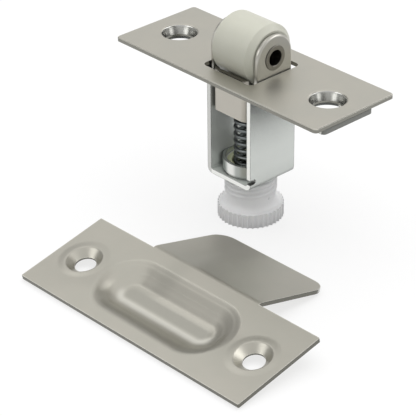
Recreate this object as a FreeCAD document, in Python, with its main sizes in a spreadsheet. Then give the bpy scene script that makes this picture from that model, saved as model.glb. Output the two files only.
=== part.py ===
import FreeCAD, Part
import os
import Sketcher
from FreeCAD import Placement, Rotation, Vector

# Roller catch with its strike plate.
# Origin: centre of the face plate's outer face. +Z leaves the door's edge,
# +X runs along the face plate, +Y across it. Millimetres.

SIZES = {
    # face plate
    "plate_length": 65.6,
    "plate_width": 25.0,
    "plate_thick": 1.0,
    "plate_corner": 1.0,
    "plate_bevel": 0.2,
    "opening_length": 16.0,
    "opening_width": 15.8,
    "opening_corner": 1.3,
    "screw_spacing": 48.6,
    "cup_mouth_radius": 4.28,
    "cup_throat_radius": 3.7,
    "cup_depth": 2.75,
    "cup_throat_depth": 2.3,
    "cup_wall": 0.8,
    "cup_rim_round": 0.55,
    # mounting bracket, a folded strip
    "strip_thick": 1.2,
    "flange_drop": 2.6,
    "flange_reach": 30.8,
    "flange_half_width": 7.85,
    "flange_corner": 1.0,
    "channel_half_width": 5.97,
    "channel_half_depth": 7.15,
    "channel_floor": 26.8,
    "neck_reach": 4.0,
    "neck_bend": 2.4,
    "floor_bend": 0.4,
    "collar_radius": 6.66,
    "collar_height": 3.4,
    "collar_groove": 0.5,
    "collar_groove_depth": 0.3,
    "relief_low": 26.25,
    "relief_high": 25.06,
    "relief_length": 1.72,
    "relief_end": 0.59,
    "window_clear": 0.25,
    "window_reach": 8.9,
    "window_floor": 5.8,
    "slot_floor": 8.2,
    # slide carriage
    "slide_clear": 0.12,
    "carriage_half_depth": 7.1,
    "carriage_wall": 1.0,
    "carriage_corner": 2.0,
    "carriage_bottom": 10.7,
    "carriage_floor": 4.8,
    "cradle_drop": 0.3,
    "lip_reach": 1.5,
    "lip_thick": 1.0,
    # roller, its axle and the fork
    "axle_height": 4.3,
    "roller_radius": 7.3,
    "roller_full_half": 5.2,
    "roller_half": 6.5,
    "roller_end_radius": 6.0,
    "roller_round": 0.3,
    "ear_clear": 0.2,
    "fork_thick": 1.0,
    "ear_half_width": 5.5,
    "ear_round": 0.6,
    "ear_shoulder": 2.2,
    "web_half_width": 2.4,
    "web_bend": 1.3,
    "axle_bore": 1.9,
    "axle_radius": 2.5,
    "axle_ring_radius": 3.0,
    "axle_ring_proud": 0.2,
    "axle_ring_bevel": 0.1,
    "running_clear": 0.05,
    # adjusting knob and spring
    "knob_radius": 7.9,
    "knob_top": 35.65,
    "knob_head": 3.4,
    "flute_count": 40,
    "flute_radius": 0.5,
    "flute_sink": 0.12,
    "shank_radius": 5.85,
    "shank_top": 24.6,
    "shank_flare": 1.4,
    "spring_bore": 4.45,
    "seat_above_head": 1.25,
    "spring_radius": 4.07,
    "spring_wire": 0.95,
    "spring_pitch": 1.78,
    # strike plate
    "strike_length": 69.45,
    "strike_width": 24.54,
    "strike_thick": 1.0,
    "strike_corner": 0.3,
    "strike_screw_spacing": 53.9,
    "strike_mouth_radius": 4.3,
    "strike_throat_radius": 2.5,
    "strike_throat_depth": 1.7,
    "strike_cup_depth": 2.1,
    "strike_cup_wall": 0.7,
    "strike_rim_round": 0.5,
    "lead_half_width": 16.76,
    "lead_length": 21.75,
    "lead_angle": 26.2,
    "lead_bend": 3.0,
    "lead_corner": 4.0,
    "recess_centre": 11.2,
    "recess_mouth": 6.95,
    "recess_floor": 4.25,
    "recess_depth": 2.3,
    "recess_round": 4.6,
    "strike_x": 20.79,
    "strike_y": -45.99,
    "strike_z": -35.19,
    "strike_turn": 0.81,
    "strike_tilt": 11.57,
}


class Size:
    """A length that holds its value and its expression in the sheet."""

    def __init__(self, value, text):
        self.value = float(value)
        self.text = text

    @staticmethod
    def of(other):
        return other if isinstance(other, Size) else Size(other, repr(float(other)))

    def __add__(self, other):
        other = Size.of(other)
        return Size(self.value + other.value, "(%s + %s)" % (self.text, other.text))

    def __sub__(self, other):
        other = Size.of(other)
        return Size(self.value - other.value, "(%s - %s)" % (self.text, other.text))

    def __mul__(self, factor):
        factor = Size.of(factor)
        return Size(self.value * factor.value, "(%s * %s)" % (self.text, factor.text))

    def __truediv__(self, divisor):
        divisor = Size.of(divisor)
        return Size(self.value / divisor.value, "(%s / %s)" % (self.text, divisor.text))

    def __neg__(self):
        return Size(-self.value, "(0 - %s)" % self.text)


doc = FreeCAD.newDocument("roller_catch")
sheet = doc.addObject("Spreadsheet::Sheet", "Sizes")
for row, (alias, number) in enumerate(SIZES.items(), start=1):
    sheet.set("A%d" % row, alias)
    sheet.set("B%d" % row, str(number))
    sheet.setAlias("B%d" % row, alias)
doc.recompute()


def size(alias):
    """The named cell as a Size."""
    return Size(SIZES[alias], "Sizes." + alias)


def bind(target, prop, length):
    """Binds a property to a Size."""
    target.setExpression(prop, Size.of(length).text)


def make_body(label):
    body = doc.addObject("PartDesign::Body", label)
    body.Label = label
    return body


def make_sketch(body, plane, name, offset=0.0, across=0.0):
    """A sketch on the body's own XY, XZ or YZ plane, moved along its normal and its x."""
    sketch = body.newObject("Sketcher::SketchObject", name)
    role = plane + "_Plane"
    origin = [f for f in body.Origin.OriginFeatures if f.Role == role][0]
    sketch.AttachmentSupport = [(origin, "")]
    sketch.MapMode = "FlatFace"
    offset, across = Size.of(offset), Size.of(across)
    sketch.AttachmentOffset = Placement(Vector(across.value, 0, offset.value), Rotation())
    bind(sketch, "AttachmentOffset.Base.z", offset)
    bind(sketch, "AttachmentOffset.Base.x", across)
    return sketch


def pin_point(sketch, geometry, end, x, y):
    """Holds one point of the sketch at bound distances from its origin."""
    for kind, value in (("DistanceX", x), ("DistanceY", y)):
        value = Size.of(value)
        index = sketch.addConstraint(
            Sketcher.Constraint(kind, -1, 1, geometry, end, value.value))
        sketch.setExpression("Constraints[%d]" % index, value.text)


def draw_outline(sketch, corners):
    """A closed outline of straight lines through the corners."""
    points = [Vector(Size.of(x).value, Size.of(y).value, 0) for x, y in corners]
    lines = [sketch.addGeometry(Part.LineSegment(a, b), False)
             for a, b in zip(points, points[1:] + points[:1])]
    for here, following in zip(lines, lines[1:] + lines[:1]):
        sketch.addConstraint(Sketcher.Constraint("Coincident", here, 2, following, 1))
    for line, (x, y) in zip(lines, corners):
        pin_point(sketch, line, 1, x, y)


def draw_rectangle(sketch, x_low, x_high, y_low, y_high):
    draw_outline(sketch, [(x_low, y_low), (x_high, y_low), (x_high, y_high), (x_low, y_high)])


def draw_circle(sketch, radius, x=0.0, y=0.0):
    radius = Size.of(radius)
    centre = Vector(Size.of(x).value, Size.of(y).value, 0)
    circle = sketch.addGeometry(Part.Circle(centre, Vector(0, 0, 1), radius.value), False)
    pin_point(sketch, circle, 3, x, y)
    index = sketch.addConstraint(Sketcher.Constraint("Radius", circle, radius.value))
    sketch.setExpression("Constraints[%d]" % index, radius.text)


def pad(body, name, sketch, length, reverse=False):
    feature = body.newObject("PartDesign::Pad", name)
    feature.Profile = sketch
    feature.Reversed = reverse
    bind(feature, "Length", length)
    doc.recompute()
    return feature


def cut(body, name, sketch, length, reverse=False):
    """A pocket that goes against the sketch's normal, or along it if reversed."""
    before = body.Shape.Volume
    feature = body.newObject("PartDesign::Pocket", name)
    feature.Profile = sketch
    feature.Reversed = reverse
    bind(feature, "Length", length)
    doc.recompute()
    if body.Shape.Volume >= before - 1e-6:
        raise RuntimeError(name + " removes nothing")
    return feature


def turn(body, name, sketch, axis="V_Axis", remove=False):
    """A full turn of the sketch about one of its own axes."""
    before = body.Shape.Volume if remove else 0.0
    kind = "PartDesign::Groove" if remove else "PartDesign::Revolution"
    feature = body.newObject(kind, name)
    feature.Profile = sketch
    feature.ReferenceAxis = (sketch, [axis])
    feature.Angle = 360.0
    doc.recompute()
    if remove and body.Shape.Volume >= before - 1e-6:
        raise RuntimeError(name + " removes nothing")
    return feature


def dress(body, name, kind, radius, wanted):
    """A fillet or chamfer on the edges that the test picks."""
    base = body.Tip
    names = ["Edge%d" % number for number, edge in enumerate(base.Shape.Edges, start=1)
             if wanted(edge)]
    if not names:
        raise RuntimeError(name + " finds no edge")
    feature = body.newObject("PartDesign::" + kind, name)
    feature.Base = (base, names)
    bind(feature, "Radius" if kind == "Fillet" else "Size", radius)
    doc.recompute()
    return feature


def near(a, b, slack=0.02):
    return abs(a - b) < slack


def middle(edge):
    """The point halfway along an edge."""
    return edge.valueAt((edge.FirstParameter + edge.LastParameter) / 2)


def along(edge, axis):
    """Whether a straight edge runs along the given direction."""
    if not isinstance(edge.Curve, Part.Line):
        return False
    return abs(abs(edge.Curve.Direction.dot(axis)) - 1) < 1e-6


X, Y, Z = Vector(1, 0, 0), Vector(0, 1, 0), Vector(0, 0, 1)
SIDES = (("left", -1), ("right", 1))

plate_thick = size("plate_thick")
strip_thick = size("strip_thick")
axle_height = size("axle_height")
channel_inner = size("channel_half_width")
channel_outer = channel_inner + strip_thick
channel_depth = size("channel_half_depth")
flange_top = -size("flange_drop")
flange_bottom = flange_top - strip_thick
floor_top = -size("channel_floor")
floor_bottom = floor_top - strip_thick
ear_inner = size("roller_half") + size("ear_clear")
ear_outer = ear_inner + size("fork_thick")
knob_foot = -(size("knob_top") + size("knob_head"))
spring_seat = -(size("knob_top") - size("seat_above_head"))


def build_face_plate():
    body = make_body("face_plate")
    half_length = size("plate_length") / 2
    half_width = size("plate_width") / 2
    blank = make_sketch(body, "XY", "plate_outline", -plate_thick)
    draw_rectangle(blank, -half_length, half_length, -half_width, half_width)
    pad(body, "plate_blank", blank, plate_thick)
    dress(body, "plate_corners", "Fillet", size("plate_corner"), lambda e: along(e, Z))
    dress(body, "plate_bevel_edge", "Chamfer", size("plate_bevel"),
          lambda e: near(middle(e).z, 0) and near(e.BoundBox.ZMax, 0))
    mouth, throat = size("cup_mouth_radius"), size("cup_throat_radius")
    wall, depth = size("cup_wall"), size("cup_depth")
    throat_depth = size("cup_throat_depth")
    for side, sign in SIDES:
        centre = size("screw_spacing") / 2 * sign
        outside = make_sketch(body, "XZ", side + "_cup_outside", 0.0, centre)
        draw_outline(outside, [(0, -plate_thick / 2), (mouth + wall, -plate_thick / 2),
                               (mouth + wall, -plate_thick), (throat + wall, -depth), (0, -depth)])
        turn(body, side + "_cup", outside)
        inside = make_sketch(body, "XZ", side + "_cup_inside", 0.0, centre)
        draw_outline(inside, [(0, 1), (mouth, 1), (mouth, 0), (throat, -throat_depth),
                              (throat, -(depth + 1)), (0, -(depth + 1))])
        turn(body, side + "_cup_bore", inside, remove=True)
    opening = make_sketch(body, "XY", "opening_outline", 1.0)
    draw_rectangle(opening, -size("opening_length") / 2, size("opening_length") / 2,
                   -size("opening_width") / 2, size("opening_width") / 2)
    cut(body, "opening", opening, plate_thick + 2)
    dress(body, "opening_corners", "Fillet", size("opening_corner"),
          lambda e: along(e, Z) and near(abs(middle(e).x), SIZES["opening_length"] / 2))
    dress(body, "cup_rims", "Fillet", size("cup_rim_round"),
          lambda e: near(e.BoundBox.ZMax, 0, 0.001) and near(e.BoundBox.ZMin, 0, 0.001)
          and isinstance(e.Curve, Part.Circle) and near(e.Curve.Radius, SIZES["cup_mouth_radius"]))
    return body


def build_mounting_bracket():
    body = make_body("mounting_bracket")
    reach = size("flange_reach")
    neck_end = channel_outer + size("neck_reach")
    profile = make_sketch(body, "XZ", "hat_profile", -channel_depth)
    draw_outline(profile, [
        (-neck_end, flange_top), (-channel_inner, flange_top),
        (-channel_inner, floor_top), (channel_inner, floor_top),
        (channel_inner, flange_top), (neck_end, flange_top),
        (neck_end, flange_bottom), (channel_outer, flange_bottom),
        (channel_outer, floor_bottom), (-channel_outer, floor_bottom),
        (-channel_outer, flange_bottom), (-neck_end, flange_bottom)])
    pad(body, "hat", profile, channel_depth * 2)
    inner, outer = channel_inner.value, channel_outer.value

    def bend_at(x, z):
        return lambda e: along(e, Y) and near(abs(middle(e).x), x) and near(middle(e).z, z)

    dress(body, "neck_bend_outside", "Fillet", size("neck_bend"),
          bend_at(inner, flange_top.value))
    dress(body, "neck_bend_inside", "Fillet", size("neck_bend") - strip_thick,
          bend_at(outer, flange_bottom.value))
    dress(body, "floor_bend_inside", "Fillet", size("floor_bend"),
          bend_at(inner, floor_top.value))
    dress(body, "floor_bend_outside", "Fillet", size("floor_bend") + strip_thick,
          bend_at(outer, floor_bottom.value))
    for side, sign in SIDES:
        flange = make_sketch(body, "XY", side + "_flange_outline", flange_bottom)
        near_end, far_end = (neck_end - strip_thick) * sign, reach * sign
        half = size("flange_half_width")
        draw_rectangle(flange, near_end, far_end, -half, half)
        pad(body, side + "_flange", flange, strip_thick)
    dress(body, "flange_corners", "Fillet", size("flange_corner"),
          lambda e: along(e, Z) and near(abs(middle(e).x), SIZES["flange_reach"]))
    collar = make_sketch(body, "XY", "collar_outline", floor_bottom)
    draw_circle(collar, size("collar_radius"))
    pad(body, "collar", collar, size("collar_height") + strip_thick)
    groove = make_sketch(body, "XZ", "collar_groove_outline")
    groove_bottom = size("collar_radius") - size("collar_groove_depth")
    draw_rectangle(groove, groove_bottom, size("collar_radius") + 0.01,
                   floor_top, floor_top + size("collar_groove"))
    turn(body, "collar_groove", groove, remove=True)
    bore = make_sketch(body, "XY", "knob_bore_outline", floor_top + size("collar_height") + 1)
    draw_circle(bore, size("shank_radius") + size("running_clear"))
    cut(body, "knob_bore", bore, size("collar_height") + strip_thick + 2)
    cone = (size("cup_mouth_radius") - size("cup_throat_radius")) / (size("cup_depth") - plate_thick)
    seat = size("cup_throat_radius") + size("cup_wall") \
        + (size("cup_depth") - size("flange_drop")) * cone + 0.01
    for side, sign in SIDES:
        hole = make_sketch(body, "XY", side + "_seat_outline", flange_top + 1)
        draw_circle(hole, seat, size("screw_spacing") / 2 * sign, 0)
        cut(body, side + "_seat", hole, strip_thick + 2)
    window_half = size("ear_half_width") + size("window_clear")
    window = make_sketch(body, "XY", "window_outline", 0.0)
    draw_rectangle(window, -size("window_reach"), size("window_reach"), -window_half, window_half)
    cut(body, "ear_window", window, size("window_floor"))
    slot_half = size("web_half_width") + size("window_clear") - 0.05
    slot = make_sketch(body, "XY", "slot_outline", 0.0)
    draw_rectangle(slot, -size("window_reach"), size("window_reach"), -slot_half, slot_half)
    cut(body, "web_slot", slot, size("slot_floor"))
    relief = make_sketch(body, "YZ", "relief_outline", channel_outer + 1)
    draw_rectangle(relief, -(channel_depth + 1), -(channel_depth - size("relief_length")),
                   -size("relief_low"), -size("relief_high"))
    cut(body, "relief", relief, strip_thick + size("floor_bend") + 1)
    end = -(SIZES["channel_half_depth"] - SIZES["relief_length"])
    dress(body, "relief_ends", "Fillet", size("relief_end"),
          lambda e: along(e, X) and near(middle(e).y, end)
          and (near(middle(e).z, -SIZES["relief_low"]) or near(middle(e).z, -SIZES["relief_high"])))
    return body


def build_slide_carriage():
    body = make_body("slide_carriage")
    half_x = channel_inner - size("slide_clear")
    half_y = size("carriage_half_depth")
    wall = size("carriage_wall")
    top, bottom = -plate_thick, -size("carriage_bottom")
    deck_top = -size("carriage_floor")
    deck_bottom = deck_top - wall
    rim = -size("cradle_drop")
    block = make_sketch(body, "XY", "block_outline", bottom)
    draw_rectangle(block, -half_x, half_x, -half_y, half_y)
    pad(body, "block", block, rim - bottom)
    dress(body, "block_corners", "Fillet", size("carriage_corner"), lambda e: along(e, Z))
    hollow = make_sketch(body, "XY", "skirt_hollow_outline", deck_bottom)
    draw_rectangle(hollow, -(half_x - wall), half_x - wall, -(half_y - wall), half_y - wall)
    cut(body, "skirt_hollow", hollow, deck_bottom - bottom)
    dress(body, "skirt_corners", "Fillet", size("carriage_corner") - wall,
          lambda e: along(e, Z) and near(abs(middle(e).x), (half_x - wall).value)
          and near(abs(middle(e).y), (half_y - wall).value))
    cradle = make_sketch(body, "XY", "cradle_outline", rim)
    draw_rectangle(cradle, -(half_x + 1), half_x + 1, -(half_y - wall), half_y - wall)
    cut(body, "cradle", cradle, rim - deck_top)
    for side, sign in SIDES:
        lip = make_sketch(body, "XY", side + "_lip_outline", top - size("lip_thick"))
        draw_rectangle(lip, -(half_x - size("carriage_corner")), half_x - size("carriage_corner"),
                       (half_y - wall) * sign, (half_y + size("lip_reach")) * sign)
        pad(body, side + "_lip", lip, size("lip_thick"))
    return body


def build_roller_fork():
    body = make_body("roller_fork")
    half = size("ear_half_width")
    web_bottom = -size("carriage_floor")
    trunk = make_sketch(body, "YZ", "trunk_outline", -ear_outer)
    draw_rectangle(trunk, -half, half, -size("ear_shoulder"), axle_height)
    pad(body, "trunk", trunk, ear_outer * 2)
    arch = make_sketch(body, "YZ", "arch_outline", -ear_outer)
    draw_circle(arch, half, 0, axle_height)
    pad(body, "arch", arch, ear_outer * 2)
    neck = make_sketch(body, "YZ", "neck_outline", -ear_outer)
    draw_rectangle(neck, -size("web_half_width"), size("web_half_width"),
                   web_bottom, -size("ear_shoulder") + 0.5)
    pad(body, "neck", neck, ear_outer * 2)
    dress(body, "web_bends", "Fillet", size("web_bend"),
          lambda e: along(e, Y) and near(middle(e).z, web_bottom.value))
    gap = make_sketch(body, "XZ", "gap_outline", half + 1)
    draw_rectangle(gap, -ear_inner, ear_inner, web_bottom + size("fork_thick"), axle_height + half + 1)
    cut(body, "roller_gap", gap, half * 2 + 2)
    hole = make_sketch(body, "YZ", "axle_hole_outline", ear_outer + 1)
    draw_circle(hole, size("axle_radius") + 0.01, 0, axle_height)
    cut(body, "axle_holes", hole, ear_outer * 2 + 2)
    outer, shoulder = ear_outer.value, -SIZES["ear_shoulder"]
    hole_limit = SIZES["axle_radius"] + 0.5
    dress(body, "ear_edges", "Fillet", size("ear_round"),
          lambda e: near(e.BoundBox.XMin, e.BoundBox.XMax, 0.001) and near(abs(middle(e).x), outer)
          and e.BoundBox.ZMax > shoulder + 0.1 and not (isinstance(e.Curve, Part.Circle)
                                                        and e.Curve.Radius < hole_limit))
    return body


def build_axle_rivet():
    body = make_body("axle_rivet")
    radius, bore, ring = size("axle_radius"), size("axle_bore"), size("axle_ring_radius")
    half = ear_outer + size("axle_ring_proud")
    profile = make_sketch(body, "XZ", "rivet_profile")
    draw_outline(profile, [(-half, bore), (half, bore), (half, ring), (ear_outer, ring),
                           (ear_outer, radius), (-ear_outer, radius), (-ear_outer, ring),
                           (-half, ring)])
    turn(body, "rivet", profile, "H_Axis")
    dress(body, "ring_edges", "Chamfer", size("axle_ring_bevel"),
          lambda e: isinstance(e.Curve, Part.Circle) and near(abs(middle(e).x), half.value))
    return body


def build_roller():
    body = make_body("roller")
    bore = size("axle_radius") + size("running_clear")
    full, half = size("roller_full_half"), size("roller_half")
    profile = make_sketch(body, "XZ", "roller_profile")
    draw_outline(profile, [(-half, bore), (half, bore), (half, size("roller_end_radius")),
                           (full, size("roller_radius")), (-full, size("roller_radius")),
                           (-half, size("roller_end_radius"))])
    turn(body, "roller_blank", profile, "H_Axis")
    dress(body, "roller_edges", "Fillet", size("roller_round"),
          lambda e: isinstance(e.Curve, Part.Circle) and e.Curve.Radius > bore.value + 1)
    return body


def build_adjusting_knob():
    body = make_body("adjusting_knob")
    head, shank, bore = size("knob_radius"), size("shank_radius"), size("spring_bore")
    head_top = -size("knob_top")
    profile = make_sketch(body, "XZ", "knob_profile")
    draw_outline(profile, [
        (0, knob_foot), (head, knob_foot), (head, head_top), (shank, head_top),
        (shank, -size("shank_top")), (bore, -size("shank_top")), (bore, spring_seat),
        (0, spring_seat)])
    turn(body, "knob_blank", profile)
    dress(body, "shank_flare", "Fillet", size("shank_flare"),
          lambda e: isinstance(e.Curve, Part.Circle) and near(middle(e).z, head_top.value)
          and near(e.Curve.Radius, shank.value))
    flute = make_sketch(body, "XY", "flute_outline", head_top + 1)
    draw_circle(flute, size("flute_radius"), head + size("flute_sink"), 0)
    first = cut(body, "flute", flute, size("knob_head") + 2)
    pattern = body.newObject("PartDesign::PolarPattern", "flutes")
    pattern.Originals = [first]
    pattern.Axis = (flute, ["N_Axis"])
    pattern.Angle = 360.0
    bind(pattern, "Occurrences", size("flute_count"))
    body.Tip = pattern
    doc.recompute()
    return body


def build_spring():
    deck_bottom = size("carriage_floor") + size("carriage_wall")
    length = -spring_seat - deck_bottom
    wire = size("spring_wire") / 2
    mean = size("spring_radius") - wire
    helix = doc.addObject("Part::Helix", "spring_line")
    bind(helix, "Pitch", size("spring_pitch"))
    bind(helix, "Height", length + size("spring_wire"))
    bind(helix, "Radius", mean)
    section = doc.addObject("Part::Circle", "spring_section")
    bind(section, "Radius", wire)
    section.Placement = Placement(Vector(mean.value, 0, 0), Rotation(X, 90))
    bind(section, "Placement.Base.x", mean)
    doc.recompute()
    coil = doc.addObject("Part::Sweep", "spring_coil")
    coil.Sections = [section]
    coil.Spine = (helix, ["Edge1"])
    coil.Solid = True
    coil.Frenet = True
    trim = doc.addObject("Part::Cylinder", "spring_trim")
    bind(trim, "Radius", size("spring_radius") + 1)
    bind(trim, "Height", length)
    trim.Placement = Placement(Vector(0, 0, wire.value), Rotation())
    bind(trim, "Placement.Base.z", wire)
    doc.recompute()
    spring = doc.addObject("Part::Common", "spring")
    spring.Base, spring.Tool = coil, trim
    spring.Label = "spring"
    drop = spring_seat - wire
    spring.Placement = Placement(Vector(0, 0, drop.value), Rotation())
    bind(spring, "Placement.Base.z", drop)
    doc.recompute()
    return spring


def build_strike_plate():
    body = make_body("strike_plate")
    thick = size("strike_thick")
    half_length, half_width = size("strike_length") / 2, size("strike_width") / 2
    blank = make_sketch(body, "XY", "strike_outline", -thick)
    draw_rectangle(blank, -half_length, half_length, -half_width, half_width)
    pad(body, "strike_blank", blank, thick)
    dress(body, "strike_corners", "Fillet", size("strike_corner"), lambda e: along(e, Z))
    tan_half = Size(angle_tan(SIZES["lead_angle"] / 2), "tan(Sizes.lead_angle / 2 * 1 deg)")
    cosine = Size(angle_cos(SIZES["lead_angle"]), "cos(Sizes.lead_angle * 1 deg)")
    sine = Size(angle_sin(SIZES["lead_angle"]), "sin(Sizes.lead_angle * 1 deg)")
    fold = half_width + size("lead_bend") * tan_half
    reach = size("lead_length")
    end_y, end_z = fold + reach * cosine, -(reach * sine)
    lead = make_sketch(body, "YZ", "lead_profile", -size("lead_half_width"))
    draw_outline(lead, [(half_width - 1, 0), (fold, 0), (end_y, end_z),
                        (end_y - thick * sine, end_z - thick * cosine),
                        (fold - thick * tan_half, -thick), (half_width - 1, -thick)])
    pad(body, "lead", lead, size("lead_half_width") * 2)
    dress(body, "lead_bend_outside", "Fillet", size("lead_bend"),
          lambda e: along(e, X) and near(middle(e).y, fold.value) and near(middle(e).z, 0))
    under = (fold - thick * tan_half).value
    dress(body, "lead_bend_inside", "Fillet", size("lead_bend") - thick,
          lambda e: along(e, X) and near(middle(e).y, under)
          and near(middle(e).z, -SIZES["strike_thick"]))
    dress(body, "lead_corners", "Fillet", size("lead_corner"),
          lambda e: isinstance(e.Curve, Part.Line) and near(e.Length, thick.value, 0.01)
          and near(abs(middle(e).x), SIZES["lead_half_width"]) and middle(e).y > end_y.value - 1)
    centre = size("recess_centre")
    mouth, floor, depth = size("recess_mouth"), size("recess_floor"), size("recess_depth")
    rise, run = depth.value, mouth.value - floor.value
    slope = Size((rise ** 2 + run ** 2) ** 0.5,
                 "sqrt(%s ^ 2 + %s ^ 2)" % (depth.text, (mouth - floor).text))
    spread = thick * (slope - (mouth - floor)) / depth
    belly = make_sketch(body, "YZ", "belly_profile", -centre)
    draw_outline(belly, [(-(mouth + spread), -thick), (-(floor + spread), -(thick + depth)),
                         (floor + spread, -(thick + depth)), (mouth + spread, -thick),
                         (mouth + spread, -thick / 2), (-(mouth + spread), -thick / 2)])
    pad(body, "belly", belly, centre * 2)
    for side, sign in SIDES:
        end = make_sketch(body, "XZ", side + "_belly_profile", 0.0, centre * sign)
        draw_outline(end, [(0, -thick / 2), (mouth + spread, -thick / 2), (mouth + spread, -thick),
                           (floor + spread, -(thick + depth)), (0, -(thick + depth))])
        turn(body, side + "_belly", end)
    hollow = make_sketch(body, "YZ", "recess_profile", centre)
    draw_outline(hollow, [(-mouth, 0), (-floor, -depth), (floor, -depth), (mouth, 0),
                          (mouth, 1), (-mouth, 1)])
    cut(body, "recess", hollow, centre * 2)
    for side, sign in SIDES:
        end = make_sketch(body, "XZ", side + "_recess_profile", 0.0, centre * sign)
        draw_outline(end, [(0, 1), (mouth, 1), (mouth, 0), (floor, -depth), (0, -depth)])
        turn(body, side + "_recess", end, remove=True)

    def stadium(half, z):
        def wanted(e):
            if not (near(e.BoundBox.ZMin, z, 0.005) and near(e.BoundBox.ZMax, z, 0.005)):
                return False
            if isinstance(e.Curve, Part.Circle):
                return near(e.Curve.Radius, half, 0.005)
            return near(abs(middle(e).y), half, 0.005) and abs(middle(e).x) < centre.value
        return wanted

    bend = size("recess_round")
    dress(body, "recess_rim", "Fillet", bend, stadium(mouth.value, 0))
    dress(body, "recess_foot", "Fillet", bend, stadium(floor.value, -depth.value))
    dress(body, "belly_rim", "Fillet", bend - thick,
          stadium((mouth + spread).value, -thick.value))
    dress(body, "belly_foot", "Fillet", bend + thick,
          stadium((floor + spread).value, -(thick + depth).value))
    throat, cup_depth = size("strike_throat_radius"), size("strike_cup_depth")
    wall, mouth_radius = size("strike_cup_wall"), size("strike_mouth_radius")
    for side, sign in SIDES:
        place = size("strike_screw_spacing") / 2 * sign
        outside = make_sketch(body, "XZ", side + "_strike_cup_outside", 0.0, place)
        draw_outline(outside, [(0, -thick / 2), (mouth_radius + wall, -thick / 2),
                               (mouth_radius + wall, -thick), (throat + wall, -cup_depth),
                               (0, -cup_depth)])
        turn(body, side + "_strike_cup", outside)
        inside = make_sketch(body, "XZ", side + "_strike_cup_inside", 0.0, place)
        draw_outline(inside, [(0, 1), (mouth_radius, 1), (mouth_radius, 0),
                              (throat, -size("strike_throat_depth")), (throat, -(cup_depth + 1)),
                              (0, -(cup_depth + 1))])
        turn(body, side + "_strike_bore", inside, remove=True)
    dress(body, "strike_rims", "Fillet", size("strike_rim_round"),
          lambda e: isinstance(e.Curve, Part.Circle) and near(middle(e).z, 0, 0.001)
          and near(e.Curve.Radius, SIZES["strike_mouth_radius"])
          and near(abs(e.Curve.Center.x), SIZES["strike_screw_spacing"] / 2))
    body.Placement = Placement(
        Vector(SIZES["strike_x"], SIZES["strike_y"], SIZES["strike_z"]),
        Rotation(SIZES["strike_turn"], 0, SIZES["strike_tilt"]))
    for axis in "xyz":
        bind(body, "Placement.Base." + axis, size("strike_" + axis))
    return body


def angle_sin(degrees):
    return Rotation(Z, degrees).multVec(X).y


def angle_cos(degrees):
    return Rotation(Z, degrees).multVec(X).x


def angle_tan(degrees):
    return angle_sin(degrees) / angle_cos(degrees)


parts = [
    build_face_plate(),
    build_mounting_bracket(),
    build_slide_carriage(),
    build_roller_fork(),
    build_axle_rivet(),
    build_roller(),
    build_adjusting_knob(),
    build_spring(),
    build_strike_plate(),
]

raised = {"roller": axle_height, "axle_rivet": axle_height}
for part in parts:
    if part.Label in raised:
        part.Placement = Placement(Vector(0, 0, raised[part.Label].value), Rotation())
        bind(part, "Placement.Base.z", raised[part.Label])
doc.recompute()

for item in doc.Objects:
    if "Invalid" in item.State or "Error" in item.State:
        raise RuntimeError("%s is %s" % (item.Name, item.State))
for part in parts:
    if part.Shape.isNull() or not part.Shape.isValid() or len(part.Shape.Solids) != 1:
        raise RuntimeError(part.Label + " is not one valid solid")

os.makedirs("parts", exist_ok=True)
for part in parts:
    part.Shape.exportStep("parts/%s.step" % part.Label)
    box = part.Shape.BoundBox
    print("%-18s %9.1f mm3  x %.2f..%.2f  y %.2f..%.2f  z %.2f..%.2f" % (
        part.Label, part.Shape.Volume, box.XMin, box.XMax, box.YMin, box.YMax, box.ZMin, box.ZMax))
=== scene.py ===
"""Looks of a roller catch and its strike plate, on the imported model's own frame."""

import logging
import math
from abc import ABC, abstractmethod
from dataclasses import dataclass
from enum import Enum

import bmesh
import bpy
from mathutils import Euler, Matrix, Vector


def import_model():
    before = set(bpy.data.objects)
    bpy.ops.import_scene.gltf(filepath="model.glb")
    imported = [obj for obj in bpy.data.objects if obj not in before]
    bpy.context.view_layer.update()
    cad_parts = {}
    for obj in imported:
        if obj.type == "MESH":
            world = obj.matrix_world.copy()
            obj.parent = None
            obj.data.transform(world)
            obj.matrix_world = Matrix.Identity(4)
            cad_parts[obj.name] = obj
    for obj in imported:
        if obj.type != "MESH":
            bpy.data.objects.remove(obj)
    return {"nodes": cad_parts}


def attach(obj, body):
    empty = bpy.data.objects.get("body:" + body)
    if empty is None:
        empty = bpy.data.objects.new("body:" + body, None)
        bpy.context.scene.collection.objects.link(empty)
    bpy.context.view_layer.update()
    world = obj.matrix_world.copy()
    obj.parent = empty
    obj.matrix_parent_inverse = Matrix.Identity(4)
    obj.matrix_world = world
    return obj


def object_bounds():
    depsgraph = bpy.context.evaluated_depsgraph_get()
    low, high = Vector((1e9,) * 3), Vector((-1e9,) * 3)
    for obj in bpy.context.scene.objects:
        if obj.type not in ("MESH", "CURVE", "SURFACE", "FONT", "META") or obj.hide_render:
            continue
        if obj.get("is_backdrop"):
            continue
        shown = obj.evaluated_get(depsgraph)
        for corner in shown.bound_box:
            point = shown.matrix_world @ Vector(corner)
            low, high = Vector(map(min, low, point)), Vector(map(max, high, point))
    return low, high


LOG = logging.getLogger("roller_catch")
MM = 0.001
# Pixels along each side of the photograph.
IMAGE_SIDE = 416
# The way that the left and right flanks of the face plate's screw cups face; faces that look along
# it take painted shade.
CUP_FLANK = (0.7071, 0.0, 0.7071)
# How the nodes are set out in the node editor.
SHEET_COLUMNS = 8
COLUMN_STEP = 180
ROW_STEP = 220

Colour = tuple[float, float, float, float]
Point = tuple[float, float, float]
Nodes = dict[str, bpy.types.Object]
Value = bpy.types.NodeSocket | float | tuple[float, ...]


class Socket(Enum):
    """What a node group's socket carries."""

    NUMBER = "NodeSocketFloat"
    VECTOR = "NodeSocketVector"
    COLOUR = "NodeSocketColor"


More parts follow.
